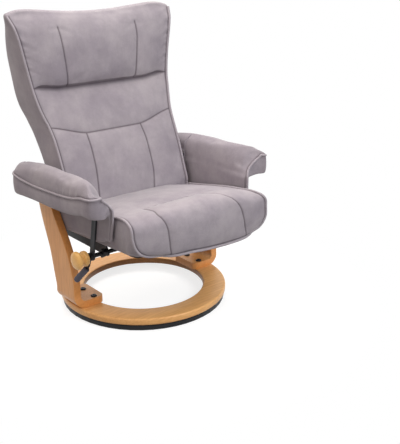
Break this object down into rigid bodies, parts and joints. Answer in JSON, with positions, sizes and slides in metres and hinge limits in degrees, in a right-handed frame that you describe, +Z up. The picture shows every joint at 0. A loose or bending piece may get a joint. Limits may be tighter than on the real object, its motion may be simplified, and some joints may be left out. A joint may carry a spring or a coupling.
{
  "type": "swivel recliner on a round wooden base",
  "caption": "Reclining armchair on a round wooden swivel ring, with bent-wood legs, padded armrests, a winged back, and a seat that glides on links as the back goes down.",
  "frame": {"origin": "on the floor, at the centre of the round base", "axes": "+Z up, the front of the chair faces -Y, +X to the sitter's left"},
  "size_m": [0.804, 0.7997, 1.1001],
  "materials": {
    "upholstery": "matte",
    "beech": "satin",
    "plywood": "matte",
    "black_steel": "satin",
    "dark_steel": "satin",
    "bright_steel": "satin",
    "floor_rubber": "matte",
    "grip_rubber": "satin",
    "webbing": "matte",
    "nylon": "satin"
  },
  "bodies": {
    "base": {"floor_strip": "floor_rubber", "ground_ring": "black_steel"},
    "cage": {"ball_cage": "nylon"},
    "turntable": {"swivel_ring": "black_steel", "base_ring": "beech", "leg_left": "beech", "leg_right": "beech", "leg_bolt_left_front": "black_steel", "leg_bolt_left_rear": "black_steel", "leg_bolt_right_front": "black_steel", "leg_bolt_right_rear": "black_steel", "armrest_left": "upholstery", "armrest_right": "upholstery", "arm_board_left": "plywood", "arm_board_right": "plywood", "arm_screw_left_front": "bright_steel", "arm_screw_left_rear": "bright_steel", "arm_screw_right_front": "bright_steel", "arm_screw_right_rear": "bright_steel", "front_hanger_left": "black_steel", "front_hanger_right": "black_steel", "front_stud_left": "bright_steel", "front_stud_right": "bright_steel", "pivot_stub_left": "bright_steel", "pivot_stub_right": "bright_steel"},
    "swing_frame": {"swing_link_left": "dark_steel", "swing_link_right": "dark_steel", "swing_shaft": "black_steel", "shaft_collar_left": "black_steel", "shaft_collar_right": "black_steel"},
    "wheel_left": {"hand_wheel_left": "beech", "wheel_sleeve_left": "bright_steel"},
    "wheel_right": {"hand_wheel_right": "beech", "wheel_sleeve_right": "bright_steel"},
    "lever": {"release_lever": "black_steel", "lever_grip": "grip_rubber"},
    "seat": {"seat_frame": "black_steel", "seat_plate_left": "black_steel", "seat_plate_right": "black_steel", "seat_pin_left": "bright_steel", "seat_pin_right": "bright_steel", "seat_strap_1": "webbing", "seat_strap_2": "webbing", "seat_strap_3": "webbing", "seat_strap_4": "webbing", "seat_lining": "webbing", "seat_cushion": "upholstery"},
    "backrest": {"back_frame": "black_steel", "back_bracket_left": "black_steel", "back_bracket_right": "black_steel", "back_strap_1": "webbing", "back_strap_2": "webbing", "back_strap_3": "webbing", "back_cushion": "upholstery", "head_cushion": "upholstery"}
  },
  "joints": [
    {"name": "swivel", "type": "hinge", "parent": "base", "child": "turntable", "pos_m": [0, 0, 0.02], "axis": [0, 0, 1], "continuous": true},
    {"name": "cage_turn", "type": "hinge", "parent": "base", "child": "cage", "pos_m": [0, 0, 0.02], "axis": [0, 0, 1], "continuous": true},
    {"name": "recline", "type": "hinge", "parent": "turntable", "child": "backrest", "pos_m": [0, 0.138, 0.49], "axis": [-1, 0, 0], "range_deg": [0, 28]},
    {"name": "seat_swing", "type": "hinge", "parent": "turntable", "child": "swing_frame", "pos_m": [0, -0.179, 0.49], "axis": [-1, 0, 0], "range_deg": [0, 28]},
    {"name": "seat_level", "type": "hinge", "parent": "swing_frame", "child": "seat", "pos_m": [0, -0.141, 0.294], "axis": [-1, 0, 0], "range_deg": [-28, 0]},
    {"name": "wheel_turn_left", "type": "hinge", "parent": "swing_frame", "child": "wheel_left", "pos_m": [0.345, -0.141, 0.294], "axis": [1, 0, 0], "range_deg": [-135, 135]},
    {"name": "wheel_turn_right", "type": "hinge", "parent": "swing_frame", "child": "wheel_right", "pos_m": [-0.345, -0.141, 0.294], "axis": [-1, 0, 0], "range_deg": [-135, 135]},
    {"name": "lever_lift", "type": "hinge", "parent": "swing_frame", "child": "lever", "pos_m": [-0.33, -0.141, 0.294], "axis": [1, 0, 0], "range_deg": [0, 15]}
  ],
  "couplings": [
    {"joint": "cage_turn", "follows": "swivel", "ratio": 0.5},
    {"joint": "seat_swing", "follows": "recline", "ratio": 1},
    {"joint": "seat_level", "follows": "recline", "ratio": -1}
  ]
}
